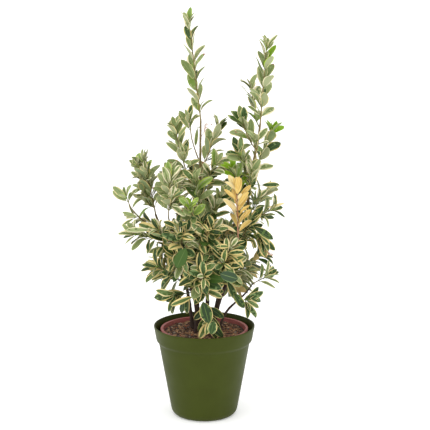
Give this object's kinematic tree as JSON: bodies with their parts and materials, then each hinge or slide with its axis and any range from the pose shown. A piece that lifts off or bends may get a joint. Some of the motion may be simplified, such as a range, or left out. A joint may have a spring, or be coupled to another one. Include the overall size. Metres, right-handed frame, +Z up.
{
  "type": "potted euonymus shrub",
  "caption": "Variegated euonymus shrub with upright leafy stems, in a grower's pot of bark soil standing inside a tapering green cover pot.",
  "frame": {"origin": "middle of the cover pot's flat underside, on the surface the pot stands on", "axes": "+Z up along the pot's axis; -Y faces the viewer of the picture; +X is to the viewer's right, the side of the lower of the two tall leaders"},
  "size_m": [0.3561, 0.2611, 0.881],
  "materials": {
    "cover_pot_plastic": "satin",
    "grower_pot_plastic": "matte",
    "soil": "matte",
    "bark": "matte",
    "leaf_sage": "satin",
    "leaf_dark": "satin",
    "leaf_yellow": "satin",
    "leaf_young": "satin"
  },
  "bodies": {
    "root": {"bough_left_inner": "bark", "bough_left_mid": "bark", "bough_left_tip": "bark", "bough_left_upper": "bark", "bough_yellow": "bark", "cover_pot": "cover_pot_plastic", "foliage_back_centre": "leaf_dark", "foliage_back_left": "leaf_dark", "foliage_back_left_low": "leaf_dark", "foliage_back_left_top": "leaf_sage", "foliage_back_right": "leaf_dark", "foliage_back_right_low": "leaf_dark", "foliage_back_right_top": "leaf_sage", "foliage_body_centre": "leaf_dark", "foliage_body_centre_left": "leaf_dark", "foliage_body_left": "leaf_dark", "foliage_body_left_low": "leaf_dark", "foliage_body_right": "leaf_dark", "foliage_centre_back": "leaf_sage", "foliage_centre_right": "leaf_dark", "foliage_centre_upper": "leaf_sage", "foliage_centre_young": "leaf_young", "foliage_front_centre": "leaf_dark", "foliage_front_skirt": "leaf_dark", "foliage_left_arm": "leaf_dark", "foliage_left_arm_low": "leaf_dark", "foliage_left_inner": "leaf_sage", "foliage_left_leader": "leaf_sage", "foliage_left_mid": "leaf_sage", "foliage_left_outer": "leaf_sage", "foliage_left_tip": "leaf_sage", "foliage_left_upper": "leaf_sage", "foliage_low_left": "leaf_dark", "foliage_low_right": "leaf_dark", "foliage_low_right_hang": "leaf_dark", "foliage_low_right_tip": "leaf_dark", "foliage_mid_right": "leaf_sage", "foliage_mid_upper": "leaf_sage", "foliage_right_arm": "leaf_dark", "foliage_right_body": "leaf_dark", "foliage_right_buds": "leaf_dark", "foliage_right_droop": "leaf_dark", "foliage_right_inner": "leaf_sage", "foliage_right_leader": "leaf_sage", "foliage_right_mid": "leaf_sage", "foliage_right_mid_left": "leaf_sage", "foliage_right_outer": "leaf_sage", "foliage_right_side": "leaf_sage", "foliage_right_upper": "leaf_sage", "foliage_yellow": "leaf_yellow", "foliage_young_green": "leaf_young", "grower_pot": "grower_pot_plastic", "soil": "soil", "stem_back_left": "bark", "stem_back_right": "bark", "stem_centre": "bark", "stem_left": "bark", "stem_left_leader": "bark", "stem_low_right": "bark", "stem_right_leader": "bark"}
  },
  "joints": []
}
